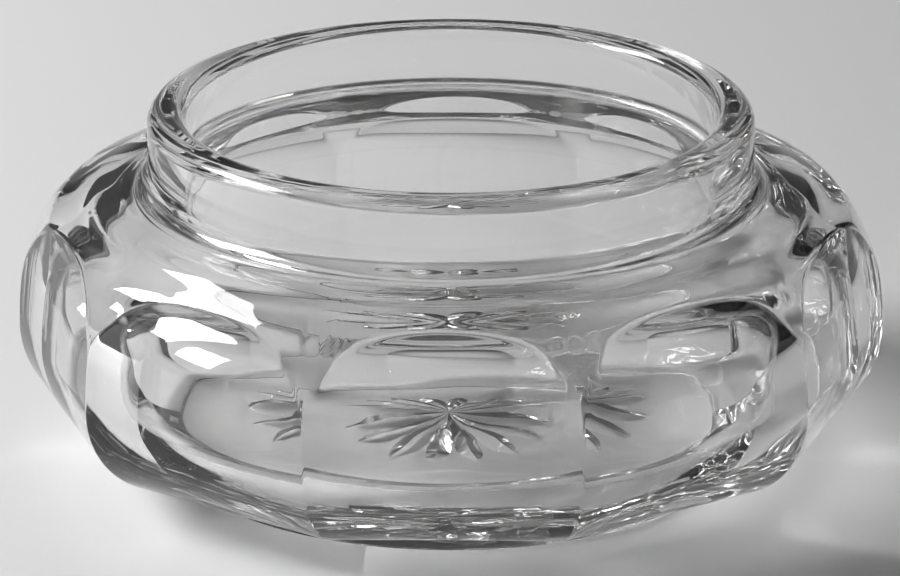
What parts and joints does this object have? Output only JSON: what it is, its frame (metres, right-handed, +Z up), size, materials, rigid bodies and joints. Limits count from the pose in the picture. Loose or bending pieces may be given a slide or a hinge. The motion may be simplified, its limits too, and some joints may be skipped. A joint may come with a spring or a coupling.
{
  "type": "puff box",
  "caption": "Open clear glass puff box bowl: round plain collar, bulbous body with arched flat flutes, thick base with a star cut underneath, and a round foot.",
  "frame": {"origin": "centre of the foot's flat underside, on the bowl's axis", "axes": "+Z up along the bowl's axis towards the mouth; -Y through the middle of a flute; +X along a ridge between two flutes"},
  "size_m": [0.1252, 0.119, 0.053],
  "materials": {
    "clear_glass": "fire-polished and cut, clear, smooth"
  },
  "bodies": {
    "root": {"bowl": "clear_glass"}
  },
  "joints": []
}
